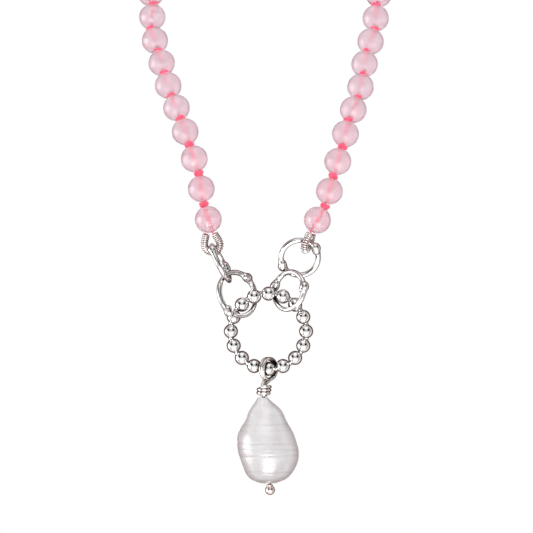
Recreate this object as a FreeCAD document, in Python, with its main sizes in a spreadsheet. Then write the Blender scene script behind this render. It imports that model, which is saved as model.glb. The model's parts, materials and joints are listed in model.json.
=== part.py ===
"""A knotted bead necklace: two strands of round stone beads on silk, held at the back by the
wearer's neck, joined in front by French-wire loops, four bone-shaped silver links and a beaded
silver ring, with one large baroque pearl hanging on a head pin.

Millimetres. +X is the right side seen from the front, -Y is the front, +Z is up. The origin is
the middle of the nape, where the strand rests on the neck. Places in front are given from the
centre of the beaded ring's height, which lies NAPE below and in front of the nape.
"""
import FreeCAD, Part
import math
import os

Vector = FreeCAD.Vector
Placement = FreeCAD.Placement
Rotation = FreeCAD.Rotation

UP = Vector(0, 0, 1)
BACK = Vector(0, 1, 0)
NAPE = Vector(0, 125, 137)

DIMENSIONS = {
    "bead_diameter": 8.0,
    "bead_pitch": 9.5,
    "bead_bore": 1.3,
    "cord_diameter": 0.9,
    "knot_diameter": 2.7,
    "knot_length": 1.2,
    "knot_bevel": 0.32,
    "french_wire_diameter": 2.16,
    "link_tube_diameter": 1.32,
    "knob_diameter": 2.9,
    "knob_shoulder_diameter": 2.2,
    "knob_neck_diameter": 1.7,
    "ball_diameter": 4.26,
    "ball_circle_radius": 11.15,
    "ball_neck_diameter": 1.6,
    "wire_diameter": 1.0,
    "bail_radius": 3.05,
    "bail_turn_offset": 0.52,
    "wrap_radius": 1.6,
    "wrap_core_diameter": 2.3,
    "wrap_pitch": 1.08,
    "pin_ball_diameter": 2.94,
    "pin_collar_diameter": 1.9,
    "pin_collar_length": 0.3,
    "pearl_bore": 1.3,
}

BALL_COUNT = 16
WRAP_TURNS = 3
SHOULDER_BEADS = 7          # beads in each shoulder group; the rest lie round the nape
CORD_END_GAP = 0.95         # from a knot's middle to the end of the next cord length
LOWEST_CORD_GAP = 0.55      # the lowest cord ends just under its bead, between the French-wire legs

# Front strands, from the lowest bead up: how far each bead's hole leans outward and back, degrees.
LEFT_START = (-15.5, 0.0, 28.7)
RIGHT_START = (13.05, 0.0, 28.9)
LEFT_OUTWARD = [18, 8, 19, 18, 23, 18, 15, 19, -4, 12]
RIGHT_OUTWARD = [30, 15, 17, 14, 23, 13, 8, 22, 4, 12]
LEAN_BACK = [8, 10, 17, 31, 39, 39, 41, 38, 36, 38]
ROWS = len(LEAN_BACK)

# The strand's way round the neck, left half, between the top row and the nape.
NECK_ROUTE = [(-42.9, 59.5, 118), (-50.7, 78, 128.5), (-49.1, 98, 134.5), (-36.7, 114.9, 137),
              (-18.8, 123.4, 137.3)]

# name: centre, long axis angle, turn about that axis (degrees), centreline radius, knob angles
LINKS = {
    "left_upper_link": ((-13.3, -0.5, 20.2), -64, 83.5, 5.85, (220, 68)),
    "left_lower_link": ((-8.3, -0.85, 11.0), 112, -40, 6.65, (126, 299)),
    "right_upper_link": ((10.15, 1.7, 21.8), 6.5, -19.5, 5.5, (27, 202)),
    "right_lower_link": ((6.97, -0.95, 12.0), 75, 41, 5.65, (295, 88)),
}

# Rounds that make a knob: distance along the link from the knob's middle, diameter's name
KNOB_STEPS = [(0.0, "knob_diameter"), (-1.25, "knob_shoulder_diameter"), (1.25, "knob_shoulder_diameter"),
              (-2.1, "knob_neck_diameter"), (2.1, "knob_neck_diameter")]

# name: middle of the bend, radius of the bend, ends of the two legs
FRENCH_WIRES = {
    "left_french_wire": ((-15.8, 0.0, 25.8), 2.35, ((-17.6, 0.0, 28.85), (-15.1, -0.5, 29.0))),
    "right_french_wire": ((12.5, 0.0, 26.4), 2.5, ((13.2, -1.25, 28.7), (13.7, 1.25, 28.6))),
}

RING_CENTRE = (0.9, 0.0, 0.0)
WRAP_TOP = (-0.3, 0.0, -16.0)
PIN_TOP = (-0.6, 0.0, -19.3)
PIN_BALL = (1.35, 0.0, -47.05)
BAIL_TURN = 50              # degrees between the bail's plane and the ring's plane

# Baroque pearl, from the top down: height below its top, sideways shift, half width.
PEARL_TOP = -19.65
PEARL_DEPTH_RATIO = 0.93
PEARL_SECTIONS = [
    (0.0, -0.75, 1.5), (1.5, -0.4, 2.7), (3.1, -0.05, 4.2), (4.6, 0.07, 5.2), (6.6, 0.1, 6.0),
    (8.8, 0.1, 7.25), (11.0, 0.1, 8.35), (13.5, 0.45, 8.9), (16.0, 0.8, 9.0), (18.4, 1.1, 8.6),
    (20.6, 1.15, 7.8), (22.6, 1.0, 6.8), (24.2, 0.85, 5.2), (25.0, 0.75, 3.4), (25.35, 0.85, 1.9),
]

doc = FreeCAD.newDocument("Necklace")


def make_sheet():
    sheet = doc.addObject("Spreadsheet::Sheet", "Dims")
    for row, (alias, value) in enumerate(DIMENSIONS.items(), start=1):
        sheet.set("A%d" % row, alias)
        sheet.set("B%d" % row, str(value))
        sheet.setAlias("B%d" % row, alias)
    doc.recompute()
    return sheet


sheet = make_sheet()


def size(alias):
    return float(sheet.get(alias))


def at(point):
    """A point given from the beaded ring's height, in the part's frame."""
    return Vector(*point) - NAPE


def along(direction):
    """The rotation that turns +Z to a direction."""
    return Rotation(UP, direction)


def bind(thing, **expressions):
    for prop, expression in expressions.items():
        thing.setExpression(prop, expression)
    return thing


def part(kind, label, **expressions):
    return bind(doc.addObject("Part::" + kind, label), **expressions)


def sphere(label, radius, centre):
    ball = part("Sphere", label, Radius=radius)
    ball.Placement = Placement(centre, Rotation())
    return ball


def rod(label, radius, start, end):
    piece = part("Cylinder", label, Radius=radius)
    piece.Height = (end - start).Length
    piece.Placement = Placement(start, along(end - start))
    return piece


def torus(label, ring_radius, tube_radius, placement):
    ring = part("Torus", label, Radius1=ring_radius, Radius2=tube_radius)
    ring.Placement = placement
    return ring


def joined(label, pieces):
    """Pieces that are one solid."""
    fuse = doc.addObject("Part::MultiFuse", label)
    fuse.Shapes = pieces
    fuse.Label = label
    return fuse


def grouped(label, pieces):
    """Pieces that share a node but stay separate solids."""
    group = doc.addObject("Part::Compound", label)
    group.Links = pieces
    group.Label = label
    return group


def strand(start, outward, side):
    """The knots of one front strand, from its lower end up."""
    knots = [at(start)]
    for lean_out, lean_back in zip(outward, LEAN_BACK):
        out = math.radians(lean_out)
        back = math.radians(lean_back)
        step = Vector(side * math.sin(out) * math.cos(back), math.sin(back), math.cos(out) * math.cos(back))
        knots.append(knots[-1] + step * size("bead_pitch"))
    return knots


def neck_knots(left_end, right_end):
    """Knots from the left strand's top, round the nape, to the right strand's top."""
    left = [at(point) for point in NECK_ROUTE]
    right = [Vector(-point.x, point.y, point.z) for point in reversed(left)]
    curve = Part.BSplineCurve()
    curve.interpolate([left_end] + left + [Vector(0, 0, 0)] + right + [right_end])
    edge = curve.toShape()
    count = round(edge.Length / size("bead_pitch"))
    return edge.discretize(Number=count + 1)


def bead(label, lower, upper):
    """A round drilled bead between two knots."""
    ball = part("Sphere", label + "_ball", Radius="Dims.bead_diameter / 2")
    drill = part("Cylinder", label + "_drill", Radius="Dims.bead_bore / 2", Height="Dims.bead_diameter")
    drill.Placement = Placement(Vector(0, 0, -size("bead_diameter") / 2), Rotation())
    cut = doc.addObject("Part::Cut", label)
    cut.Base = ball
    cut.Tool = drill
    cut.Label = label
    cut.Placement = Placement((lower + upper) / 2, along(upper - lower))
    return cut


def knot(label, centre, direction):
    """A tight silk knot: a short drum with bevelled edges, centred between two beads."""
    drum = part("Cylinder", label + "_drum", Radius="Dims.knot_diameter / 2", Height="Dims.knot_length")
    drum.Placement = Placement(centre - direction * size("knot_length") / 2, along(direction))
    bevel = doc.addObject("Part::Chamfer", label)
    bevel.Base = drum
    bevel.Edges = [(edge, size("knot_bevel"), size("knot_bevel")) for edge in (1, 3)]
    return bevel


def bisector(before, middle, after):
    direction = (middle - before).normalize() + (after - middle).normalize()
    return direction.normalize()


def cord_length(label, lower, upper, gap_below, gap_above):
    """A straight length of silk through one bead."""
    direction = (upper - lower).normalize()
    return rod(label, "Dims.cord_diameter / 2", lower + direction * gap_below, upper - direction * gap_above)


def silk_side(label, knots, index):
    """The silk of one row on one side: the cord through the bead and the knot above it."""
    lower, upper = knots[index], knots[index + 1]
    gap_below = CORD_END_GAP if index else LOWEST_CORD_GAP
    cord = cord_length(label + "_cord", lower, upper, gap_below, 0.0)
    tied = knot(label + "_knot", upper, bisector(lower, upper, knots[index + 2]))
    return joined(label, [cord, tied])


def make_rows(left, right):
    """The movable rows: a bead and its silk on each side. Row 1 is the highest."""
    made = []
    for index in range(ROWS):
        number = ROWS - index
        for side, knots in (("left", left), ("right", right)):
            made.append(bead("%s_bead_%02d" % (side, number), knots[index], knots[index + 1]))
        sides = [silk_side("%s_silk_%02d" % (side, number), knots, index)
                 for side, knots in (("left", left), ("right", right))]
        made.append(grouped("silk_%02d" % number, sides))
    return made


def make_neck(knots):
    """The part of the strand that lies round the neck, beads in four groups."""
    count = len(knots) - 1
    names = ["left_shoulder_beads", "left_nape_beads", "right_nape_beads", "right_shoulder_beads"]
    starts = [0, SHOULDER_BEADS, count // 2, count - SHOULDER_BEADS]
    groups = {name: [] for name in names}
    silk = []
    for index in range(count):
        name = names[sum(index >= start for start in starts) - 1]
        piece = bead("neck_bead_%02d" % (index + 1), knots[index], knots[index + 1])
        groups[name].append(piece)
        gap_below = CORD_END_GAP if index == 0 else 0.0
        gap_above = CORD_END_GAP if index == count - 1 else 0.0
        silk.append(cord_length("neck_cord_%02d" % (index + 1), knots[index], knots[index + 1],
                                gap_below, gap_above))
    for index in range(1, count):
        silk.append(knot("neck_knot_%02d" % index, knots[index],
                         bisector(knots[index - 1], knots[index], knots[index + 1])))
    made = [grouped(name, pieces) for name, pieces in groups.items()]
    made.append(joined("neck_silk", silk))
    return made


def tangent_point(centre, radius, outside, across, side):
    """Where a line from an outside point touches a circle; side picks one of the two points."""
    reach = outside - centre
    distance = reach.Length
    angle = side * math.acos(radius / distance)
    normal = reach.cross(across).normalize()
    return centre + Rotation(normal, math.degrees(angle)).multVec(reach.normalize() * radius)


def french_wire(label, centre, radius, ends):
    """A loop of coiled silver wire: two legs out of the bead and a round bend between them."""
    centre = at(centre)
    first, last = at(ends[0]), at(ends[1])
    across = last - first
    start = tangent_point(centre, radius, first, across, -1)
    finish = tangent_point(centre, radius, last, across, 1)
    middle = centre - ((first + last) / 2 - centre).normalize() * radius
    path = Part.Wire([Part.LineSegment(first, start).toShape(),
                      Part.Arc(start, middle, finish).toShape(),
                      Part.LineSegment(finish, last).toShape()])
    circle = Part.makeCircle(size("french_wire_diameter") / 2, first, start - first)
    loop = doc.addObject("Part::Feature", label)
    loop.Shape = path.makePipeShell([Part.Wire(circle)], True, True)
    loop.Label = label
    return loop


def link_frame(centre, long_angle, turn):
    """Placement of a link: local X along its long axis, local Z square to its plane."""
    angle = math.radians(long_angle)
    tilt = math.radians(turn)
    long_axis = Vector(math.cos(angle), 0, math.sin(angle))
    side_axis = Vector(-math.sin(angle), 0, math.cos(angle)) * math.cos(tilt) + BACK * math.sin(tilt)
    rotation = Rotation(long_axis, side_axis, long_axis.cross(side_axis), "XYZ")
    return Placement(at(centre), rotation)


def knob_pieces(label, radius, knob_angle, placement):
    """A bone end on a link: a round knob that steps down to the tube on both sides."""
    pieces = []
    for number, (distance, alias) in enumerate(KNOB_STEPS, start=1):
        turn = math.radians(knob_angle) + distance / radius
        outward = Vector(math.cos(turn), math.sin(turn), 0)
        ball = sphere("%s_round_%d" % (label, number), "Dims.%s / 2" % alias, Vector())
        seam_outward = Rotation(outward, UP.cross(outward), UP, "ZXY")
        ball.Placement = placement * Placement(outward * radius, seam_outward)
        pieces.append(ball)
    return pieces


def bone_link(label, centre, long_angle, turn, radius, knob_angles):
    placement = link_frame(centre, long_angle, turn)
    ring = part("Torus", label + "_tube", Radius2="Dims.link_tube_diameter / 2")
    ring.Radius1 = radius
    ring.Placement = placement
    pieces = [ring]
    for number, angle in enumerate(knob_angles, start=1):
        pieces += knob_pieces("%s_%d" % (label, number), radius, angle, placement)
    return joined(label, pieces)


def ball_centre(number):
    """Ball 1 is just left of the top; the count runs clockwise seen from the front."""
    angle = math.radians(135 - number * 360 / BALL_COUNT)
    reach = size("ball_circle_radius")
    return at(RING_CENTRE) + Vector(math.cos(angle), 0, math.sin(angle)) * reach


def beaded_ring():
    """Balls in a circle, each joined to the next by a short neck of solder."""
    pieces = []
    for number in range(1, BALL_COUNT + 1):
        centre = ball_centre(number)
        outward = centre - at(RING_CENTRE)
        ball = sphere("beaded_ring_ball_%02d" % number, "Dims.ball_diameter / 2", centre)
        ball.Placement = Placement(centre, Rotation(outward, BACK.cross(outward), BACK, "ZXY"))
        pieces.append(ball)
        pieces.append(rod("beaded_ring_neck_%02d" % number, "Dims.ball_neck_diameter / 2",
                          centre, ball_centre(number + 1)))
    return joined("beaded_ring", pieces)


def head_pin():
    """One wire: two turns round the beaded ring, a wrapped neck, the pin and its round end."""
    top, end = at(PIN_TOP), at(PIN_BALL)
    direction = (end - top).normalize()
    turn = math.radians(BAIL_TURN)
    normal = Vector(math.sin(turn), -math.cos(turn), 0)
    middle = at((RING_CENTRE[0], 0, -size("ball_circle_radius")))
    pieces = []
    for number, side in enumerate((-1, 1), start=1):
        centre = middle + normal * side * size("bail_turn_offset")
        pieces.append(torus("bail_turn_%d" % number, "Dims.bail_radius", "Dims.wire_diameter / 2",
                            Placement(centre, along(normal))))
    wrap_top = at(WRAP_TOP)
    wrap_direction = (top - wrap_top).normalize()
    loop_bottom = middle - UP * size("bail_radius")
    pieces.append(rod("bail_leg", "Dims.wire_diameter / 2", loop_bottom, wrap_top))
    core_end = wrap_top + wrap_direction * size("wrap_pitch") * WRAP_TURNS
    pieces.append(rod("wrap_core", "Dims.wrap_core_diameter / 2", wrap_top, core_end))
    for number in range(WRAP_TURNS):
        centre = wrap_top + wrap_direction * size("wrap_pitch") * (number + 0.5)
        pieces.append(torus("wrap_turn_%d" % (number + 1), "Dims.wrap_radius", "Dims.wire_diameter * 0.55",
                            Placement(centre, along(wrap_direction))))
    pieces.append(rod("pin_shank", "Dims.wire_diameter / 2", top - direction * size("wire_diameter"), end))
    collar_start = end - direction * (size("pin_ball_diameter") / 2 + size("pin_collar_length"))
    pieces.append(rod("pin_collar", "Dims.pin_collar_diameter / 2", collar_start, end))
    pieces.append(sphere("pin_ball", "Dims.pin_ball_diameter / 2", end))
    return joined("head_pin", pieces)


def pearl():
    """The baroque pearl: a smooth loft through slightly flattened rounds, drilled end to end."""
    sections = []
    for drop, shift, half_width in PEARL_SECTIONS:
        centre = at((shift, 0, PEARL_TOP - drop))
        ellipse = Part.Ellipse(centre + Vector(half_width, 0, 0),
                               centre + Vector(0, half_width * PEARL_DEPTH_RATIO, 0), centre)
        sections.append(Part.Wire(ellipse.toShape()))
    body = doc.addObject("Part::Feature", "pearl_body")
    body.Shape = Part.makeLoft(sections, True)
    top, end = at(PIN_TOP), at(PIN_BALL)
    drill = rod("pearl_drill", "Dims.pearl_bore / 2", top - (end - top) * 0.2, end)
    cut = doc.addObject("Part::Cut", "pearl")
    cut.Base = body
    cut.Tool = drill
    cut.Label = "pearl"
    return cut


def check_objects():
    for thing in doc.Objects:
        if "Invalid" in thing.State or "Error" in thing.State:
            raise RuntimeError("%s failed: %s" % (thing.Label, thing.State))


def export(thing):
    shape = thing.Shape
    if shape.isNull() or not shape.isValid():
        raise RuntimeError(thing.Label + " has no valid shape")
    shape.exportStep("parts/%s.step" % thing.Label)
    print("%-22s %3d solids %9.2f mm3" % (thing.Label, len(shape.Solids), shape.Volume))


def main():
    left = strand(LEFT_START, LEFT_OUTWARD, -1)
    right = strand(RIGHT_START, RIGHT_OUTWARD, 1)
    neck = neck_knots(left[-1], right[-1])
    left.append(neck[1])
    right.append(neck[-2])
    made = make_neck(neck) + make_rows(left, right)
    made += [french_wire(label, *values) for label, values in FRENCH_WIRES.items()]
    made += [bone_link(label, *values) for label, values in LINKS.items()]
    made += [beaded_ring(), head_pin(), pearl()]
    doc.recompute()
    check_objects()
    os.makedirs("parts", exist_ok=True)
    for thing in made:
        export(thing)


main()
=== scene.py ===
"""The looks of the knotted bead necklace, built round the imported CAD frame.

Sizes are in millimetres, and MM turns them to metres. Places are given from the level of the
beaded ring's centre, as in the CAD model, and at() moves them to the frame by the charm_ring mount.
"""
import bpy
import json
import math
import random
import numpy as np
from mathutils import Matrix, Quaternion, Vector, noise


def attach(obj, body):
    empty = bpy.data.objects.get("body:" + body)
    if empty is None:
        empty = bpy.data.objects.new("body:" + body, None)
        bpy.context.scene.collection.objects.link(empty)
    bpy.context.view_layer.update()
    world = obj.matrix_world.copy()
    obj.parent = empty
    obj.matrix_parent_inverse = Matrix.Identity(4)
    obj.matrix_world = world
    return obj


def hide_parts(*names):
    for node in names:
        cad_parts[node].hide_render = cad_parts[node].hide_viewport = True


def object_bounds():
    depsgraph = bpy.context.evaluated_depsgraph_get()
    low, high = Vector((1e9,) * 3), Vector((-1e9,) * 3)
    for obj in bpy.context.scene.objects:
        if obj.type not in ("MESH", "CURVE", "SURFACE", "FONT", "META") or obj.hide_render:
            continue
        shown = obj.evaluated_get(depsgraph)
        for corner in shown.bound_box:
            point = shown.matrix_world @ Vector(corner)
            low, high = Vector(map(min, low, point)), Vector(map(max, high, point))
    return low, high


MM = 0.001
UP = Vector((0, 0, 1))

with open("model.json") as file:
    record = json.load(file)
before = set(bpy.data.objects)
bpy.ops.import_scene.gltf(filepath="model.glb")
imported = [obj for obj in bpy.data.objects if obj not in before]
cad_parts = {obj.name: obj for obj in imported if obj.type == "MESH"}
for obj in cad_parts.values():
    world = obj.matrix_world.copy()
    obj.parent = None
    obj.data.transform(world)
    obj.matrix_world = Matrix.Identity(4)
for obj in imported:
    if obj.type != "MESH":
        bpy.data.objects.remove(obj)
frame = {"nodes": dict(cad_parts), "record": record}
CAD_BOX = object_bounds()
record = frame["record"]
joints = {joint["name"]: joint for joint in record["behaviour"]["joints"]}
mounts = {mount["name"]: mount for mount in record["mounts"]}
node_body = {node: body for body, nodes in record["behaviour"]["bodies"].items() for node in nodes}

RING_CENTRE = Vector((0.9, 0, 0))
FRONT = Vector(mounts["charm_ring"]["pos_m"]) - RING_CENTRE * MM

# ---------------------------------------------------------------- sizes, millimetres
BEAD_RADIUS = 4.0
BEAD_PITCH = 9.5
BORE_RADIUS = 0.62
CORD_RADIUS = 0.45
CORD_TWIST = 1.5
CORD_BELOW_LOWEST_BEAD = 4.2
CORD_BELOW_BEAD = 3.8
NECK_CORD_END_GAP = 0.95
KNOT_CORD_RADIUS = 0.5
KNOT_SPREAD = 0.39
KNOT_RISE = 0.36
ROWS = 10
BALL_COUNT = 16
BALL_RADIUS = 2.13
BALL_CIRCLE_RADIUS = 11.15
BALL_NECK_RADIUS = 0.8
LINK_RADIUS = 0.64
LINK_SWELL = 0.16
LINK_WORN_GAP = 0.3
LINK_SWELL_RUN = 1.2
KNOB_HALF_LENGTH = 7
KNOB_BLEND = 10
WIRE_RADIUS = 0.5
BAIL_RADIUS = 3.05
BAIL_OFFSET = 0.52
BAIL_TURN = math.radians(50)
BAIL_START, BAIL_END = -62, 610
WRAP_TOP = Vector((-0.3, 0, -16.0))
PIN_TOP = Vector((-0.6, 0, -19.3))
PIN_BALL = Vector((1.35, 0, -47.05))
PIN_BALL_RADIUS = 1.47
WRAP_PITCH = 0.98
WRAP_TURNS = 2.4
WRAP_TILT = 0.3
WRAP_RADIUS = 1.72
WRAP_START = math.atan2(-1, -0.4)
WRAP_CORE_RADIUS = 1.12
GIMP_OUTER = 1.12
GIMP_WIRE_RADIUS = 0.26
GIMP_PITCH = 0.55
GIMP_CORE_INSET = 0.40

# name: centre, long axis angle, turn about it (degrees), centreline radius, (knob angle, flare side)
LINKS = {
    "left_upper_link": ((-13.3, -0.5, 20.2), -64, 83.5, 5.85, ((220, 1), (68, 1))),
    "left_lower_link": ((-8.3, -0.85, 11.0), 112, -40, 6.65, ((126, -1), (299, 1))),
    "right_upper_link": ((10.15, 1.7, 21.8), 6.5, -19.5, 5.5, ((27, -1), (202, -1))),
    "right_lower_link": ((6.97, -0.95, 12.0), 75, 41, 5.65, ((295, -1), (88, -1))),
}
# name: middle of the bend, radius of the bend, ends of the two legs
FRENCH_WIRES = {
    "left_french_wire": ((-15.8, 0.0, 25.8), 2.35, ((-17.6, 0.0, 28.85), (-15.1, -0.5, 29.0))),
    "right_french_wire": ((12.6, 0.1, 26.4), 2.45, ((13.1, -1.3, 28.8), (13.8, 1.3, 28.6))),
}
PEARL_TOP = -19.65
PEARL_DEPTH_RATIO = 0.93
PEARL_BORE_RADIUS = 0.6
# depth below the pearl's top, sideways shift, half width
PEARL_SECTIONS = [
    (0.0, -0.75, 1.5), (1.5, -0.4, 2.7), (3.1, -0.05, 4.2), (4.6, 0.07, 5.2), (6.6, 0.1, 6.0),
    (8.8, 0.1, 7.25), (11.0, 0.1, 8.35), (13.5, 0.45, 8.9), (16.0, 0.8, 9.0), (18.4, 1.1, 8.6),
    (20.6, 1.15, 7.8), (22.6, 1.0, 6.8), (24.2, 0.85, 5.2), (25.0, 0.75, 3.4), (25.35, 0.85, 1.9),
]
# growth lines: depth below the pearl's top, depth of the groove
GROOVES = [(5.2, 0.05), (7.9, 0.08), (9.6, 0.05), (13.6, 0.08), (15.4, 0.08), (17.2, 0.06),
           (22.0, 0.06)]
# which way a dent faces (x, y), depth below the pearl's top, width, depth of the dent
DENTS = [
    ((-0.5, -0.8), 4.2, 1.3, 0.22), ((0.45, -0.9), 6.9, 1.0, 0.14), ((-0.9, -0.4), 10.6, 1.6, 0.2),
    ((0.8, -0.6), 12.0, 1.6, 0.14), ((0.2, -1.0), 19.0, 1.4, 0.1), ((-0.3, 1.0), 9.0, 2.0, 0.25),
    ((0.7, 0.7), 17.0, 1.8, 0.2),
]


def at(point):
    """A point given in millimetres from the beaded ring's height, in the frame, in metres."""
    return FRONT + Vector(point) * MM


# ---------------------------------------------------------------- camera
def make_camera():
    """Level with the cluster, in front of it, on a long lens."""
    view_centre = at((0.3, 0, 19.2))
    distance = 1.6
    view_width = 0.158
    data = bpy.data.cameras.new("camera")
    data.sensor_width = 36
    data.lens = data.sensor_width * distance / view_width
    data.clip_end = 50
    camera = bpy.data.objects.new("camera", data)
    camera.location = view_centre - Vector((0, distance, 0))
    camera.rotation_euler = (math.radians(90), 0, 0)
    bpy.context.collection.objects.link(camera)
    bpy.context.scene.camera = camera


make_camera()


# ---------------------------------------------------------------- node materials
def new_material(name):
    material = bpy.data.materials.new(name)
    material.use_nodes = True
    shader = material.node_tree.nodes["Principled BSDF"]
    return material, material.node_tree, shader


def set_sockets(node, values):
    """Sets a node's own sockets to numbers or colours, by name."""
    for key, value in values.items():
        node.inputs[key].default_value = value


def add(tree, kind, **values):
    node = tree.nodes.new(kind)
    for key, value in values.items():
        if key in node.inputs:
            node.inputs[key].default_value = value
        else:
            setattr(node, key, value)
    return node


def link(tree, source, target):
    tree.links.new(source, target)


def object_coordinates(tree):
    return tree.nodes.new("ShaderNodeTexCoord").outputs["Object"]


def noise_texture(tree, scale, detail=3.0, roughness=0.5):
    texture = add(tree, "ShaderNodeTexNoise", Scale=scale, Detail=detail, Roughness=roughness)
    link(tree, object_coordinates(tree), texture.inputs["Vector"])
    return texture.outputs["Fac"]


def ramp(tree, source, stops):
    """A colour ramp: stops are (place, colour)."""
    node = tree.nodes.new("ShaderNodeValToRGB")
    elements = node.color_ramp.elements
    while len(elements) < len(stops):
        elements.new(0.5)
    for element, (place, colour) in zip(elements, stops):
        element.position = place
        element.color = (*colour, 1)
    link(tree, source, node.inputs["Fac"])
    return node.outputs["Color"]


def spread(tree, source, low, high, to_low, to_high):
    """A value that runs from low to high, mapped to run from to_low to to_high."""
    node = tree.nodes.new("ShaderNodeMapRange")
    set_sockets(node, {"From Min": low, "From Max": high, "To Min": to_low, "To Max": to_high})
    link(tree, source, node.inputs["Value"])
    return node.outputs["Result"]


def blend_colour(tree, factor, first, second, mode="MIX"):
    """Mixes two colours. Each value is a number, a colour or an output socket."""
    node = tree.nodes.new("ShaderNodeMix")
    node.data_type = "RGBA"
    node.blend_type = mode
    # Sockets 0, 6 and 7 are the factor and the two colours of the Mix node's RGBA form.
    for place, value in ((0, factor), (6, first), (7, second)):
        socket = node.inputs[place]
        if isinstance(value, (tuple, float, int)):
            socket.default_value = (*value, 1) if isinstance(value, tuple) else value
        else:
            link(tree, value, socket)
    return node.outputs[2]


def bump(tree, shader, height, strength, distance):
    node = add(tree, "ShaderNodeBump", Strength=strength, Distance=distance)
    link(tree, height, node.inputs["Height"])
    link(tree, node.outputs["Normal"], shader.inputs["Normal"])


def rose_quartz():
    """Cloudy pale pink stone: pinker low on the strand, greyer above, with fine veils inside."""
    material, tree, shader = new_material("rose_quartz")
    set_sockets(shader, {
        "IOR": 1.5, "Transmission Weight": 0.72, "Subsurface Weight": 1.0,
        "Subsurface Radius": (2.0, 1.4, 1.6), "Subsurface Scale": MM,
        "Coat Weight": 0.5, "Coat Roughness": 0.06})
    position = tree.nodes.new("ShaderNodeSeparateXYZ")
    link(tree, object_coordinates(tree), position.inputs["Vector"])
    height = spread(tree, position.outputs["Z"], at((0, 0, 30)).z, at((0, 0, 70)).z, 0.0, 1.0)
    stone = blend_colour(tree, height, (0.92, 0.64, 0.71), (0.88, 0.68, 0.745))
    veil = noise_texture(tree, 420, 5.0, 0.62)
    pale = blend_colour(tree, spread(tree, veil, 0.48, 0.66, 0.0, 0.6), stone, (0.93, 0.83, 0.87))
    link(tree, pale, shader.inputs["Base Color"])
    cloud = noise_texture(tree, 160, 2.0)
    link(tree, spread(tree, cloud, 0.35, 0.65, 0.07, 0.16), shader.inputs["Roughness"])
    return material


def silk(name="silk", colour=(1.0, 0.12, 0.22)):
    """Hot-pink silk with a small painted glow, so that it shows through the stone."""
    material, tree, shader = new_material(name)
    fibre = noise_texture(tree, 5000, 2.0)
    deep = tuple(channel * 0.82 for channel in colour)
    link(tree, blend_colour(tree, fibre, deep, colour), shader.inputs["Base Color"])
    # The emission is a painted glow, standing in for light that reaches the silk through the stone.
    set_sockets(shader, {
        "Roughness": 0.55, "Sheen Weight": 0.5, "Sheen Roughness": 0.4,
        "Subsurface Weight": 0.25, "Subsurface Scale": 0.3 * MM,
        "Emission Color": (*colour, 1), "Emission Strength": 0.22})
    bump(tree, shader, fibre, 0.4, 0.05 * MM)
    return material


# Dark brown for where surfaces meet: part tarnish, part painted shade.
TARNISH_AND_SHADE = (0.07, 0.045, 0.035)
HOLLOW_REACH = 1.8


def silver(name, tone, roughness, recess):
    """Polished silver, darker where surfaces meet (recess says how much): part tarnish, part painted
    shade.
    """
    material, tree, shader = new_material(name)
    set_sockets(shader, {"Metallic": 1.0})
    smudge = noise_texture(tree, 300, 2.0, 0.5)
    link(tree, spread(tree, smudge, 0.3, 0.75, roughness, roughness + 0.07), shader.inputs["Roughness"])
    # Darker and browner where ambient occlusion finds nearby surfaces: part tarnish, part painted shade.
    hollow = add(tree, "ShaderNodeAmbientOcclusion", samples=8, Distance=HOLLOW_REACH * MM)
    hollow.only_local = False
    dark = spread(tree, hollow.outputs["AO"], 0.35, 0.95, recess, 0.0)
    link(tree, blend_colour(tree, dark, tone, TARNISH_AND_SHADE), shader.inputs["Base Color"])
    bump(tree, shader, noise_texture(tree, 220, 1.0), 0.10, 0.04 * MM)
    return material


def nacre():
    """Pearl: soft white body, pink rims with painted shade, fine growth lines round it."""
    material, tree, shader = new_material("nacre")
    # Toward the rims the colour turns pinker and darker: a pink tint and painted shade.
    facing = add(tree, "ShaderNodeLayerWeight", Blend=0.35)
    rim_tint_and_shade = ramp(tree, facing.outputs["Facing"],
                [(0.0, (0.77, 0.755, 0.77)), (0.4, (0.71, 0.685, 0.69)),
                 (0.75, (0.66, 0.585, 0.58)), (1.0, (0.60, 0.47, 0.45))])
    cloud = noise_texture(tree, 130, 3.0, 0.5)
    # Warm cloudy patches over the pink tint and painted shade of the rims.
    warm = blend_colour(tree, spread(tree, cloud, 0.42, 0.7, 0.0, 0.6), rim_tint_and_shade, (0.66, 0.59, 0.60))
    position = tree.nodes.new("ShaderNodeSeparateXYZ")
    link(tree, object_coordinates(tree), position.inputs["Vector"])
    ripple = spread(tree, noise_texture(tree, 110, 2.0), 0.0, 1.0, -0.5 * MM, 0.5 * MM)
    wavy = add(tree, "ShaderNodeMath", operation="ADD")
    link(tree, position.outputs["Z"], wavy.inputs[0])
    link(tree, ripple, wavy.inputs[1])
    height = PEARL_SECTIONS[-1][0]
    plain, line_half_width, darkening = (1, 1, 1), 0.02, 1.6
    stops = [(0.0, plain)]
    for place, depth in reversed(GROOVES):
        middle = 1 - place / height
        line = 1 - darkening * depth
        stops += [(middle - line_half_width, plain), (middle, (line, line * 0.99, line)),
                  (middle + line_half_width, plain)]
    bottom = at((0, 0, PEARL_TOP - height)).z
    lines = ramp(tree, spread(tree, wavy.outputs[0], bottom, bottom + height * MM, 0.0, 1.0), stops)
    patchy = spread(tree, noise_texture(tree, 90, 2.0), 0.35, 0.6, 0.25, 1.0)
    link(tree, blend_colour(tree, patchy, warm, lines, "MULTIPLY"), shader.inputs["Base Color"])
    set_sockets(shader, {
        "Roughness": 0.30, "Specular IOR Level": 0.9, "Subsurface Weight": 0.3,
        "Subsurface Radius": (1.6, 1.2, 1.1), "Subsurface Scale": MM,
        "Coat Weight": 1.0, "Coat IOR": 1.65, "Coat Roughness": 0.22})
    fine = add(tree, "ShaderNodeTexWave", bands_direction="Z", Scale=420, Distortion=5.0, Detail=3.0)
    set_sockets(fine, {"Detail Scale": 0.6})
    link(tree, object_coordinates(tree), fine.inputs["Vector"])
    bump(tree, shader, fine.outputs["Fac"], 0.18, 0.03 * MM)
    return material


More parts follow.
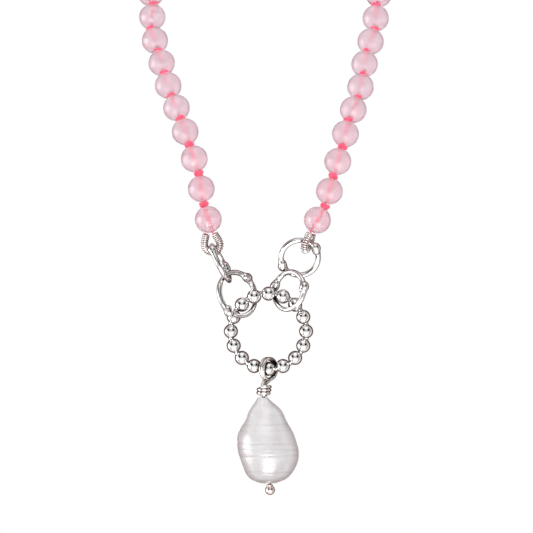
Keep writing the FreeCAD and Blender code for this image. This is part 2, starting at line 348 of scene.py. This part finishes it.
ROSE_QUARTZ = rose_quartz()
SILK = silk()
# The silk inside the French wire's coil is dark red: painted shade between the turns, with the same
# painted glow as the other silk.
THREAD_CORE = silk("thread_core", (0.42, 0.05, 0.06))
# The links' silver has a darker tone than the ring's: painted shade.
LINK_SILVER = silver("link_silver", (0.80, 0.78, 0.775), 0.05, 0.8)
RING_SILVER = silver("ring_silver", (0.96, 0.95, 0.945), 0.03, 0.95)
WIRE_SILVER = silver("wire_silver", (0.84, 0.79, 0.76), 0.08, 0.75)
BALL_SILVER = silver("ball_silver", (0.98, 0.84, 0.77), 0.10, 0.3)
GIMP_SILVER = silver("french_wire_silver", (0.93, 0.88, 0.86), 0.26, 0.4)
NACRE = nacre()


# ---------------------------------------------------------------- mesh helpers
def make_piece(name, parts, materials, body, nodes):
    """One object from (vertices, faces, material index) parts, riding on a body for CAD nodes."""
    vertices, faces, indices = [], [], []
    for part_vertices, part_faces, index in parts:
        start = len(vertices)
        vertices += [tuple(vertex) for vertex in part_vertices]
        faces += [tuple(corner + start for corner in face) for face in part_faces]
        indices += [index] * len(part_faces)
    mesh = bpy.data.meshes.new(name)
    mesh.from_pydata(vertices, [], faces)
    for material in materials:
        mesh.materials.append(material)
    mesh.polygons.foreach_set("material_index", indices)
    mesh.polygons.foreach_set("use_smooth", [True] * len(faces))
    mesh.update()
    piece = bpy.data.objects.new(name, mesh)
    bpy.context.collection.objects.link(piece)
    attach(piece, body)
    if nodes:
        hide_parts(*nodes)
    return piece


def rings_to_faces(rings, sides, closed):
    """Four-sided faces between rings of points, and back to the first ring if closed."""
    faces = []
    for ring in range(rings if closed else rings - 1):
        here = ring * sides
        there = ((ring + 1) % rings) * sides
        for side in range(sides):
            after = (side + 1) % sides
            faces.append((here + side, here + after, there + after, there + side))
    return faces


def tube(points, radius, sides=16, closed=False, index=0):
    """A tube of one radius along points, both in metres."""
    count = len(points)
    points = [Vector(point) for point in points]
    tangents = []
    for step in range(count):
        before = points[step - 1] if step or closed else points[0]
        after = points[(step + 1) % count] if step < count - 1 or closed else points[-1]
        tangents.append((after - before).normalized())
    normal = tangents[0].orthogonal().normalized()
    normals = []
    for step in range(count):
        normal = (normal - tangents[step] * normal.dot(tangents[step])).normalized()
        normals.append(normal)
    if closed:
        # The last normal meets the first turned by some angle, which is spread over all the steps.
        last = (normals[-1] - tangents[0] * normals[-1].dot(tangents[0])).normalized()
        turned = math.atan2(last.cross(normals[0]).dot(tangents[0]), last.dot(normals[0]))
        normals = [Quaternion(tangent, turned * step / count) @ normal
                   for step, (tangent, normal) in enumerate(zip(tangents, normals))]
    vertices = []
    for step in range(count):
        across = tangents[step].cross(normals[step])
        for side in range(sides):
            angle = 2 * math.pi * side / sides
            out = normals[step] * math.cos(angle) + across * math.sin(angle)
            vertices.append(points[step] + out * radius)
    faces = rings_to_faces(count, sides, closed)
    if not closed:
        faces.append(tuple(reversed(range(sides))))
        faces.append(tuple((count - 1) * sides + side for side in range(sides)))
    return vertices, faces, index


def lathe(profile, centre, axis, sides=48, closed=True, index=0):
    """Turns (along, radius) pairs, in metres, about an axis through centre."""
    turn = axis.to_track_quat("Z", "Y")
    vertices = []
    for along, radius in profile:
        for side in range(sides):
            angle = 2 * math.pi * side / sides
            local = Vector((radius * math.cos(angle), radius * math.sin(angle), along))
            vertices.append(centre + turn @ local)
    return vertices, rings_to_faces(len(profile), sides, closed), index


def smooth_path(points, steps):
    """A smooth (Catmull-Rom) line through a list of points, as more points."""
    points = [Vector(point) for point in points]
    padded = [points[0] * 2 - points[1]] + points + [points[-1] * 2 - points[-2]]
    path = []
    for index in range(1, len(padded) - 2):
        a, b, c, d = padded[index - 1:index + 3]
        for step in range(steps):
            t = step / steps
            path.append(0.5 * ((2 * b) + (c - a) * t + (2 * a - 5 * b + 4 * c - d) * t ** 2
                               + (3 * b - a - 3 * c + d) * t ** 3))
    path.append(points[-1])
    return path


# ---------------------------------------------------------------- the strand
def islands(node):
    """The separate solids of a CAD node, as lists of points. Points less than 0.1 micron apart are one."""
    mesh = frame["nodes"][node].data
    group = list(range(len(mesh.vertices)))
    keys = {}

    def root(item):
        while group[item] != item:
            group[item] = group[group[item]]
            item = group[item]
        return item

    for vertex in mesh.vertices:
        key = tuple(round(value * 1e7) for value in vertex.co)
        group[root(vertex.index)] = root(keys.setdefault(key, vertex.index))
    for edge in mesh.edges:
        group[root(edge.vertices[0])] = root(edge.vertices[1])
    found = {}
    for vertex in mesh.vertices:
        found.setdefault(root(vertex.index), []).append(vertex.co)
    return list(found.values())


def middle_of(points):
    """The middle of the box round the points."""
    low = Vector([min(point[axis] for point in points) for axis in range(3)])
    high = Vector([max(point[axis] for point in points) for axis in range(3)])
    return (low + high) / 2


def front_bead(side, row):
    """A front bead's place and bore, from the joint that it spins on."""
    joint = joints["spin_%s_bead_%02d" % (side, row)]
    return {"node": "%s_bead_%02d" % (side, row), "centre": Vector(joint["pos_m"]),
            "axis": Vector(joint["axis"]), "side": side, "row": row}


def neck_beads():
    """Beads round the neck, from the left shoulder to the right."""
    found = []
    for node in ("left_shoulder_beads", "left_nape_beads", "right_nape_beads", "right_shoulder_beads"):
        for points in islands(node):
            found.append({"node": node, "centre": middle_of(points), "side": "neck", "row": 0})
    throat = at((0, 65, 0))
    found.sort(key=lambda bead: math.atan2(bead["centre"].x, bead["centre"].y - throat.y))
    return found


def whole_strand():
    """The beads of the left front, the neck and the right front, and the knots of the neck."""
    left = [front_bead("left", row) for row in range(ROWS, 0, -1)]
    right = [front_bead("right", row) for row in range(ROWS, 0, -1)]
    neck = neck_beads()
    half = BEAD_PITCH / 2 * MM
    knots = [left[-1]["centre"] + left[-1]["axis"] * half]
    knots += [(first["centre"] + second["centre"]) / 2 for first, second in zip(neck, neck[1:])]
    knots.append(right[-1]["centre"] + right[-1]["axis"] * half)
    for bead, before, after in zip(neck, knots, knots[1:]):
        bead["axis"] = (after - before).normalized()
    return left, neck, right, knots


def bead_profile():
    """A ball with a bore: the outside from end to end, then back through the bore."""
    edge = math.asin(BORE_RADIUS / BEAD_RADIUS)
    steps = 40
    profile = []
    for step in range(steps + 1):
        angle = edge + (math.pi - 2 * edge) * step / steps
        profile.append((-math.cos(angle) * BEAD_RADIUS * MM, math.sin(angle) * BEAD_RADIUS * MM))
    end = math.cos(edge) * BEAD_RADIUS * MM
    inner = BORE_RADIUS * 0.9 * MM
    bore = [(end * part, inner) for part in (0.97, 0.5, 0.0, -0.5, -0.97)]
    return profile + bore


def make_bead(bead, number):
    """One stone bead, very slightly out of round, as cut stone is."""
    vertices, faces, index = lathe(bead_profile(), bead["centre"], bead["axis"])
    lump_scale, lump_height = 260, 0.012
    offset = Vector((number * 3.7, number * 1.3, 0))
    shaped = []
    for vertex in vertices:
        out = vertex - bead["centre"]
        swell = noise.noise(out * lump_scale + offset) * lump_height
        shaped.append(bead["centre"] + out * (1 + swell))
    name = "stone_%s_%02d" % (bead["side"], number)
    stone = make_piece(name, [(shaped, faces, index)], [ROSE_QUARTZ], node_body[bead["node"]],
                       [bead["node"]])
    stone.visible_shadow = False


def cord(start, end):
    """Two-ply silk: two strands twisted round each other."""
    axis = end - start
    length = axis.length
    step_length, fewest_steps, plies = 0.12 * MM, 8, 2
    steps = max(fewest_steps, int(length / step_length))
    side = axis.orthogonal().normalized()
    across = axis.normalized().cross(side)
    pieces = []
    for ply in range(plies):
        points = []
        for step in range(steps + 1):
            part = step / steps
            angle = part * length / (CORD_TWIST * MM) * 2 * math.pi + ply * math.pi
            offset = (side * math.cos(angle) + across * math.sin(angle)) * CORD_RADIUS * 0.45 * MM
            points.append(start + axis * part + offset)
        pieces.append(tube(points, CORD_RADIUS * 0.6 * MM, 8))
    return pieces


def knot(centre, axis, seed):
    """A tight overhand knot: the cord's own trefoil path, drawn in small."""
    chance = random.Random(seed)
    spin = Quaternion(axis, chance.uniform(0, math.tau)) @ axis.to_track_quat("Z", "Y")
    lean = Quaternion(axis.orthogonal(), chance.uniform(-0.12, 0.12))
    spread_out = KNOT_SPREAD * chance.uniform(0.93, 1.0) * MM
    rise = KNOT_RISE * MM
    points = []
    steps = 72
    for step in range(steps):
        t = math.tau * step / steps
        local = Vector(((math.sin(t) + 2 * math.sin(2 * t)) * spread_out,
                        (math.cos(t) - 2 * math.cos(2 * t)) * spread_out,
                        -math.sin(3 * t) * rise))
        points.append(centre + lean @ (spin @ local))
    return tube(points, KNOT_CORD_RADIUS * MM, 12, closed=True)


def make_row_silk(row, left, right):
    """The silk of one row on both sides: the cord in each bead and the knot above it."""
    parts = []
    below = CORD_BELOW_LOWEST_BEAD if row == ROWS else CORD_BELOW_BEAD
    for number, bead in enumerate((left, right)):
        start = bead["centre"] - bead["axis"] * below * MM
        top = bead["centre"] + bead["axis"] * BEAD_PITCH / 2 * MM
        parts += cord(start, top)
        parts.append(knot(top, bead["axis"], row * 2 + number))
    make_piece("silk_row_%02d" % row, parts, [SILK], "row_%02d" % row, ["silk_%02d" % row])


def make_neck_silk(neck, knots):
    """The cord round the neck and its knots. The two end knots belong to the front's top row."""
    parts = []
    first_knot_seed = 100
    for bead, before, after in zip(neck, knots, knots[1:]):
        start = before + bead["axis"] * (NECK_CORD_END_GAP * MM if before is knots[0] else 0)
        end = after - bead["axis"] * (NECK_CORD_END_GAP * MM if after is knots[-1] else 0)
        parts += cord(start, end)
    for number, point in enumerate(knots[1:-1]):
        axis = (neck[number + 1]["centre"] - neck[number]["centre"]).normalized()
        parts.append(knot(point, axis, first_knot_seed + number))
    make_piece("silk_round_neck", parts, [SILK], node_body["neck_silk"], ["neck_silk"])


def make_strand():
    left, neck, right, knots = whole_strand()
    for number, bead in enumerate(left + neck + right, start=1):
        make_bead(bead, number)
    for left_bead, right_bead in zip(left, right):
        make_row_silk(left_bead["row"], left_bead, right_bead)
    make_neck_silk(neck, knots)


make_strand()


# ---------------------------------------------------------------- French wires
def tangent_point(centre, radius, outside, across, side):
    """Where a straight leg from a point outside meets the bend's circle."""
    reach = outside - centre
    angle = side * math.acos(radius / reach.length)
    normal = reach.cross(across).normalized()
    return centre + Quaternion(normal, angle) @ (reach.normalized() * radius)


def loop_path(centre, radius, ends):
    """Leg, bend and leg as close points, in millimetres."""
    centre, first, last = Vector(centre), Vector(ends[0]), Vector(ends[1])
    across = last - first
    start = tangent_point(centre, radius, first, across, -1)
    finish = tangent_point(centre, radius, last, across, 1)
    down = (centre - (first + last) / 2).normalized()
    side = (across - down * across.dot(down)).normalized()

    def angle_of(point):
        out = point - centre
        return math.atan2(out.dot(side), out.dot(down))

    low, high = angle_of(start), angle_of(finish)
    if low > high:
        low, high = high, low
    bend_points, leg_points = 40, 8
    bend = [centre + (down * math.cos(angle) + side * math.sin(angle)) * radius
            for angle in np.linspace(low, high, bend_points)]
    if (bend[0] - start).length > (bend[-1] - start).length:
        bend.reverse()
    path = [first.lerp(start, step / leg_points) for step in range(leg_points)] + bend
    path += [finish.lerp(last, (step + 1) / leg_points) for step in range(leg_points)]
    return path


def resample(points, spacing):
    """The same line with evenly spaced points."""
    points = [Vector(point) for point in points]
    lengths = [0.0]
    for before, after in zip(points, points[1:]):
        lengths.append(lengths[-1] + (after - before).length)
    count = max(2, int(lengths[-1] / spacing))
    places = np.linspace(0, lengths[-1], count)
    table = np.array([tuple(point) for point in points])
    columns = [np.interp(places, lengths, table[:, axis]) for axis in range(3)]
    return [Vector(values) for values in zip(*columns)]


def coil_round(path, coil_radius, pitch, per_turn=14):
    """A helix round a path, both in millimetres."""
    steps = resample(path, pitch / per_turn)
    normal = (steps[1] - steps[0]).orthogonal().normalized()
    coil = []
    for step, point in enumerate(steps):
        tangent = (steps[min(step + 1, len(steps) - 1)] - steps[max(step - 1, 0)]).normalized()
        normal = (normal - tangent * normal.dot(tangent)).normalized()
        angle = math.tau * step / per_turn
        out = normal * math.cos(angle) + tangent.cross(normal) * math.sin(angle)
        coil.append(point + out * coil_radius)
    return coil


def make_french_wire(name, centre, radius, ends):
    """A fine wire wound tight round the silk loop, with the silk showing between the turns."""
    path = loop_path(centre, radius, ends)
    coil = coil_round(path, GIMP_OUTER - GIMP_WIRE_RADIUS, GIMP_PITCH)
    core = resample(path, 0.3)
    parts = [tube([at(point) for point in coil], GIMP_WIRE_RADIUS * MM, 8),
             tube([at(point) for point in core], (GIMP_OUTER - GIMP_CORE_INSET) * MM, 12, index=1)]
    make_piece(name + "_coil", parts, [GIMP_SILVER, THREAD_CORE], node_body[name], [name])


for wire_name, wire_values in FRENCH_WIRES.items():
    make_french_wire(wire_name, *wire_values)


# ---------------------------------------------------------------- bone-shaped links
# a bone end's round heads: place along the link, offset from its centreline, way it leans, radius
KNOB_HEADS = [(0.0, 0.22, 0.0, 1.42), (1.0, 0.35, 2.2, 1.12)]


def lobe_reach(distance, around, lobe):
    """How far a round lobe reaches from the link's centreline, or nothing past its end."""
    place, offset, aim, radius = lobe
    turn = around - aim
    left = radius ** 2 - (distance - place) ** 2 - (offset * math.sin(turn)) ** 2
    return offset * math.cos(turn) + math.sqrt(left) if left > 0 else 0.0


def knob_reach(distance, around, side):
    """A bone end: a round head with a smaller lobe beside it, a long flare and a short neck."""
    along = distance * side
    stem = 0.45
    flare = 0.78 * math.exp(-(along / 2.3) ** 2) if along > 0 else 0.50 * math.exp(-(along / 2.2) ** 4)
    reaches = [lobe_reach(along, around, head) for head in KNOB_HEADS] + [flare + stem]
    return sum(max(reach, 0.0) ** KNOB_BLEND for reach in reaches) ** (1 / KNOB_BLEND)


def link_axes(long_angle, turn):
    """The two directions that a link's circle lies in."""
    angle = math.radians(long_angle)
    tilt = math.radians(turn)
    long_axis = Vector((math.cos(angle), 0, math.sin(angle)))
    side_axis = (Vector((-math.sin(angle), 0, math.cos(angle))) * math.cos(tilt)
                 + Vector((0, 1, 0)) * math.sin(tilt))
    return long_axis, side_axis


def round_path(centre, first, second, radius):
    """A circle's points."""
    return np.array([tuple(Vector(centre) + (first * math.cos(angle) + second * math.sin(angle)) * radius)
                     for angle in np.linspace(0, math.tau, 180, endpoint=False)])


def neighbours_of(name):
    """Centrelines and radii of everything that a link hangs in or on."""
    found = [(round_path(RING_CENTRE, Vector((1, 0, 0)), UP, BALL_CIRCLE_RADIUS), BALL_RADIUS)]
    for other, (centre, long_angle, turn, radius, _) in LINKS.items():
        if other != name:
            found.append((round_path(centre, *link_axes(long_angle, turn), radius), LINK_RADIUS))
    for values in FRENCH_WIRES.values():
        found.append((np.array([tuple(point) for point in loop_path(*values)]), GIMP_OUTER))
    return found


def body_radius(middle, neighbours):
    """A link is worn thinner where it touches its neighbours."""
    room = min(np.linalg.norm(points - np.array(middle), axis=1).min() - radius
               for points, radius in neighbours)
    swell = (room - LINK_RADIUS - LINK_WORN_GAP) / LINK_SWELL_RUN
    return LINK_RADIUS + LINK_SWELL * min(1, max(0, swell))


def make_link(name, centre, long_angle, turn, radius, knobs):
    """A cast ring with two bone ends, its section drawn round the centreline circle."""
    long_axis, side_axis = link_axes(long_angle, turn)
    pole = long_axis.cross(side_axis)
    neighbours = neighbours_of(name)
    steps, sides = 420, 28
    wear_depth, wear_scale = 0.02, 0.25
    vertices = []
    for step in range(steps):
        place = math.tau * step / steps
        outward = long_axis * math.cos(place) + side_axis * math.sin(place)
        middle = Vector(centre) + outward * radius
        worn = 1 + wear_depth * noise.noise(middle * wear_scale)
        body = body_radius(middle, neighbours)
        for corner in range(sides):
            around = math.tau * corner / sides
            reach = body
            for knob_angle, side in knobs:
                gap = (place - math.radians(knob_angle) + math.pi) % math.tau - math.pi
                distance = gap * radius
                if abs(distance) < KNOB_HALF_LENGTH:
                    knob = knob_reach(distance, around, side)
                    reach = (reach ** KNOB_BLEND + knob ** KNOB_BLEND) ** (1 / KNOB_BLEND)
            out = outward * math.cos(around) + pole * math.sin(around)
            vertices.append(at(middle + out * reach * worn))
    faces = [tuple(reversed(face)) for face in rings_to_faces(steps, sides, True)]
    make_piece(name + "_bone", [(vertices, faces, 0)], [LINK_SILVER], node_body[name], [name])


for link_name, link_values in LINKS.items():
    make_link(link_name, *link_values)


# ---------------------------------------------------------------- beaded ring
def ball_centre(number):
    """Balls are numbered from the upper left, the way a clock's hands go."""
    angle = math.radians(135 - number * 360 / BALL_COUNT)
    return RING_CENTRE + Vector((math.cos(angle), 0, math.sin(angle))) * BALL_CIRCLE_RADIUS


def make_beaded_ring():
    """Sixteen balls and the necks of solder between them, as one closed skin."""
    sides, steps = 40, 30
    reach = math.asin(math.sqrt(1 - (BALL_NECK_RADIUS / BALL_RADIUS) ** 2))
    vertices = []
    back = Vector((0, 1, 0))
    for number in range(BALL_COUNT):
        centre = ball_centre(number)
        outward = (centre - RING_CENTRE).normalized()
        along = outward.cross(back)
        forward = ball_centre(number + 1) - centre
        if along.dot(forward) < 0:
            along = -along
        for step in range(steps + 1):
            angle = -reach + 2 * reach * step / steps
            radius = BALL_RADIUS * math.cos(angle)
            place = centre + along * BALL_RADIUS * math.sin(angle)
            for side in range(sides):
                turn = math.tau * side / sides
                out = outward * math.cos(turn) + back * math.sin(turn)
                vertices.append(at(place + out * radius))
    faces = rings_to_faces(BALL_COUNT * (steps + 1), sides, True)
    make_piece("beaded_ring_balls", [(vertices, faces, 0)], [RING_SILVER], node_body["beaded_ring"],
               ["beaded_ring"])


make_beaded_ring()


# ---------------------------------------------------------------- head pin
def make_head_pin():
    """The bail's wire, twice round the beaded ring and wrapped down its neck, and the pearl's pin."""
    direction = (PIN_BALL - PIN_TOP).normalized()
    wrap_direction = (PIN_TOP - WRAP_TOP).normalized()
    normal = Vector((math.sin(BAIL_TURN), -math.cos(BAIL_TURN), 0))
    flat = Vector((math.cos(BAIL_TURN), math.sin(BAIL_TURN), 0))
    middle = Vector((RING_CENTRE.x, 0, -BALL_CIRCLE_RADIUS))
    route = [WRAP_TOP + wrap_direction * 1.2, WRAP_TOP - wrap_direction * 0.2]
    bail_steps, wrap_steps = 48, 52
    for step in range(bail_steps + 1):
        part = step / bail_steps
        angle = math.radians(BAIL_START + (BAIL_END - BAIL_START) * part)
        offset = BAIL_OFFSET * math.cos(math.pi * min(1, max(0, part * 1.6 - 0.3)))
        out = flat * math.cos(angle) + UP * math.sin(angle)
        route.append(middle + normal * offset + out * BAIL_RADIUS)
    for step in range(wrap_steps + 1):
        part = step / wrap_steps
        angle = WRAP_START + math.tau * WRAP_TURNS * part
        out = Vector((math.cos(angle), math.sin(angle), 0))
        out = (out - wrap_direction * out.dot(wrap_direction)).normalized()
        sink = 0.3 + WRAP_PITCH * WRAP_TURNS * part - WRAP_TILT * out.x
        tuck = max(0, (part - 0.93) / 0.07)
        radius = WRAP_RADIUS - 0.5 * tuck
        route.append(WRAP_TOP + wrap_direction * sink + out * radius)
    wire = smooth_path(route, 5)
    core = [WRAP_TOP + wrap_direction * place for place in np.linspace(0.3, 3.3, 8)]
    shank = [PIN_TOP + direction * place
             for place in np.linspace(-0.6, (PIN_BALL - PIN_TOP).length - 1, 30)]
    collar_profile = [(-0.3, 0.5), (-0.15, 0.85), (0.1, 1.0), (0.45, 0.9), (0.8, 0.6)]
    collar_middle = PIN_BALL - direction * (PIN_BALL_RADIUS + 0.05)
    pole_radius = 0.01
    ball_profile = [(-math.cos(angle) * PIN_BALL_RADIUS * MM,
                     max(pole_radius, math.sin(angle) * PIN_BALL_RADIUS) * MM)
                    for angle in np.linspace(0, math.pi, 32)]
    parts = [tube([at(point) for point in wire], WIRE_RADIUS * MM, 16),
             tube([at(point) for point in core], WRAP_CORE_RADIUS * MM, 20),
             tube([at(point) for point in shank], WIRE_RADIUS * MM, 16),
             lathe([(along * MM, radius * MM) for along, radius in collar_profile], at(collar_middle),
                   direction, closed=False, index=1),
             lathe(ball_profile, at(PIN_BALL), direction, closed=False, index=1)]
    make_piece("head_pin_wire", parts, [WIRE_SILVER, BALL_SILVER], node_body["head_pin"], ["head_pin"])


make_head_pin()


# ---------------------------------------------------------------- pearl
def pearl_section(drop):
    """Sideways shift and half width at a depth below the pearl's top, smoothly between sections.

    Below the last section but one, the curve above it runs on.
    """
    drops = [section[0] for section in PEARL_SECTIONS]
    high = max(1, min(len(drops) - 2, int(np.searchsorted(drops, drop, side="right"))))
    low = high - 1
    span = drops[high] - drops[low]
    t = (drop - drops[low]) / span

    def slope(place, column):
        before, after = max(0, place - 1), min(len(drops) - 1, place + 1)
        rise = PEARL_SECTIONS[after][column] - PEARL_SECTIONS[before][column]
        return rise / (drops[after] - drops[before])

    values = []
    for column in (1, 2):
        start, end = PEARL_SECTIONS[low][column], PEARL_SECTIONS[high][column]
        values.append((2 * t ** 3 - 3 * t ** 2 + 1) * start
                      + (t ** 3 - 2 * t ** 2 + t) * span * slope(low, column)
                      + (-2 * t ** 3 + 3 * t ** 2) * end
                      + (t ** 3 - t ** 2) * span * slope(high, column))
    return values


def pearl_marks(drop, angle):
    """How far the grooves and dents press the surface in at one place on the pearl."""
    mark = 0.0
    groove_width = 0.28
    for place, depth in GROOVES:
        wander = 0.35 * math.sin(angle + place) + 0.15 * math.sin(3 * angle + place * 2)
        mark += depth * math.exp(-((drop - place - wander) / groove_width) ** 2)
    for (facing_x, facing_y), place, width, depth in DENTS:
        toward = math.atan2(facing_y, facing_x)
        gap = (angle - toward + math.pi) % math.tau - math.pi
        mark += depth * math.exp(-((drop - place) / width) ** 2 - (gap * 4.5 / width) ** 2)
    return mark


def make_pearl():
    """The pearl's skin, and the bore that the pin goes through, as one closed surface."""
    height = PEARL_SECTIONS[-1][0]
    sides, steps = 128, 190
    end_crowding = 0.055
    vertices = []
    for step in range(steps + 1):
        part = step / steps
        drop = height * (part - end_crowding * math.sin(2 * math.pi * part))
        shift, half_width = pearl_section(drop)
        for side in range(sides):
            angle = math.tau * side / sides
            out = Vector((math.cos(angle), math.sin(angle) * PEARL_DEPTH_RATIO, 0))
            lump = noise.noise(Vector((math.cos(angle), math.sin(angle), drop * 0.16)) * 1.6) * 0.16
            radius = max(0.8, half_width + lump - pearl_marks(drop, angle))
            vertices.append(at(Vector((shift, 0, PEARL_TOP - drop)) + out * radius))
    bore_places = (25.25, 12.0, 0.1)
    for place in bore_places:
        t = (PEARL_TOP - place - PIN_TOP.z) / (PIN_BALL.z - PIN_TOP.z)
        centre = PIN_TOP.lerp(PIN_BALL, t)
        for side in range(sides):
            angle = math.tau * side / sides
            out = Vector((math.cos(angle), math.sin(angle), 0))
            vertices.append(at(centre + out * PEARL_BORE_RADIUS))
    rings = steps + 1 + len(bore_places)
    faces = [tuple(reversed(face)) for face in rings_to_faces(rings, sides, True)]
    make_piece("pearl_drop", [(vertices, faces, 0)], [NACRE], node_body["pearl"], ["pearl"])


make_pearl()


# ---------------------------------------------------------------- stage and light
# What polished metal mirrors, from straight in front of it (0) to straight behind it (1).
REFLECTED_STUDIO = [
    (0.00, (0.60, 0.60, 0.61)), (0.07, (0.92, 0.92, 0.92)), (0.17, (0.88, 0.87, 0.87)),
    (0.28, (0.42, 0.40, 0.39)), (0.38, (0.40, 0.37, 0.36)), (0.48, (0.98, 0.96, 0.95)),
    (0.56, (0.86, 0.81, 0.79)), (0.67, (0.20, 0.14, 0.12)), (0.82, (0.07, 0.05, 0.042)),
    (0.92, (0.10, 0.075, 0.065)), (0.97, (0.50, 0.40, 0.41)), (1.00, (0.75, 0.62, 0.65)),
]
# direction, angles (degrees) inside which a patch is full and outside which it is gone, colour
REFLECTED_PATCHES = [
    ((0.0, -0.74, -0.67), 12, 30, (6.0, 6.0, 6.0)),
    ((0.0, -0.45, 0.90), 14, 28, (1.3, 1.3, 1.3)),
    ((-1.0, -0.12, -0.1), 10, 28, (4.0, 4.0, 4.0)),
    ((-0.60, -0.72, 0.33), 14, 22, (0.003, 0.003, 0.004)),
    ((0.60, -0.72, 0.33), 14, 22, (0.003, 0.003, 0.004)),
]


def make_floor():
    """A plain pale floor, well below the object, which hangs. Polished metal doesn't mirror it."""
    material, _, shader = new_material("pale_floor")
    set_sockets(shader, {"Base Color": (0.86, 0.86, 0.86, 1), "Roughness": 0.8})
    half = 2.4
    height = CAD_BOX[0].z - 0.30
    corners = [(-half, -half, height), (half, -half, height), (half, half, height), (-half, half, height)]
    mesh = bpy.data.meshes.new("floor")
    mesh.from_pydata(corners, [], [(0, 1, 2, 3)])
    mesh.materials.append(material)
    floor = bpy.data.objects.new("floor", mesh)
    floor.visible_glossy = False
    bpy.context.collection.objects.link(floor)


def area_light(name, place, size, power):
    """A white softbox that faces the cluster. place is in metres from the cluster."""
    data = bpy.data.lights.new(name, "AREA")
    data.shape = "RECTANGLE"
    data.size, data.size_y = size
    data.energy = power
    light = bpy.data.objects.new(name, data)
    target = at((0, 0, 15))
    light.location = target + Vector(place)
    light.rotation_euler = (target - light.location).to_track_quat("-Z", "Y").to_euler()
    light.visible_glossy = False
    bpy.context.collection.objects.link(light)


def ray_switch(tree, ray, first, second):
    """Picks the second shader for one kind of ray, the first for the others."""
    choose = tree.nodes.new("ShaderNodeMixShader")
    link(tree, tree.nodes.new("ShaderNodeLightPath").outputs[ray], choose.inputs[0])
    link(tree, first, choose.inputs[1])
    link(tree, second, choose.inputs[2])
    return choose.outputs[0]


def make_world():
    """White to the eye. Polished metal sees a studio: bright in front, dark and warm behind."""
    world = bpy.data.worlds.new("studio")
    world.use_nodes = True
    tree = world.node_tree
    tree.nodes.clear()
    output = tree.nodes.new("ShaderNodeOutputWorld")
    direction = tree.nodes.new("ShaderNodeTexCoord").outputs["Generated"]
    axes = tree.nodes.new("ShaderNodeSeparateXYZ")
    link(tree, direction, axes.inputs["Vector"])
    mirrored = ramp(tree, spread(tree, axes.outputs["Y"], -1.0, 1.0, 0.0, 1.0), REFLECTED_STUDIO)
    shade = spread(tree, axes.outputs["Z"], -0.7, 0.8, 1.12, 0.66)
    dimmed = blend_colour(tree, 1.0, mirrored, shade, "MULTIPLY")
    for aim, inner, outer, colour in REFLECTED_PATCHES:
        spot = add(tree, "ShaderNodeVectorMath", operation="DOT_PRODUCT")
        spot.inputs[1].default_value = Vector(aim).normalized()
        link(tree, direction, spot.inputs[0])
        gone, full = math.cos(math.radians(outer)), math.cos(math.radians(inner))
        cover = spread(tree, spot.outputs["Value"], gone, full, 0.0, 1.0)
        dimmed = blend_colour(tree, cover, dimmed, colour)
    studio = add(tree, "ShaderNodeBackground", Strength=1.0)
    link(tree, dimmed, studio.inputs["Color"])
    soft = add(tree, "ShaderNodeBackground", Strength=1.0)
    height = spread(tree, axes.outputs["Z"], -1.0, 1.0, 0.0, 1.0)
    softened = ramp(tree, height, [(0.0, (0.74, 0.72, 0.72)), (1.0, (1.0, 1.0, 1.0))])
    link(tree, softened, soft.inputs["Color"])
    through = add(tree, "ShaderNodeBackground", Color=(0.97, 0.96, 0.97, 1), Strength=1.0)
    white = add(tree, "ShaderNodeBackground", Color=(1, 1, 1, 1), Strength=1.0)
    mixed = ray_switch(tree, "Is Diffuse Ray", studio.outputs[0], soft.outputs[0])
    mixed = ray_switch(tree, "Is Transmission Ray", mixed, through.outputs[0])
    mixed = ray_switch(tree, "Is Camera Ray", mixed, white.outputs[0])
    link(tree, mixed, output.inputs["Surface"])
    bpy.context.scene.world = world


make_floor()
make_world()
area_light("key", (-0.6, -1.1, 0.8), (0.5, 0.5), 3.0)
area_light("fill", (0.7, -0.9, 0.2), (0.4, 0.4), 1.0)
bpy.context.scene.view_settings.view_transform = "Standard"
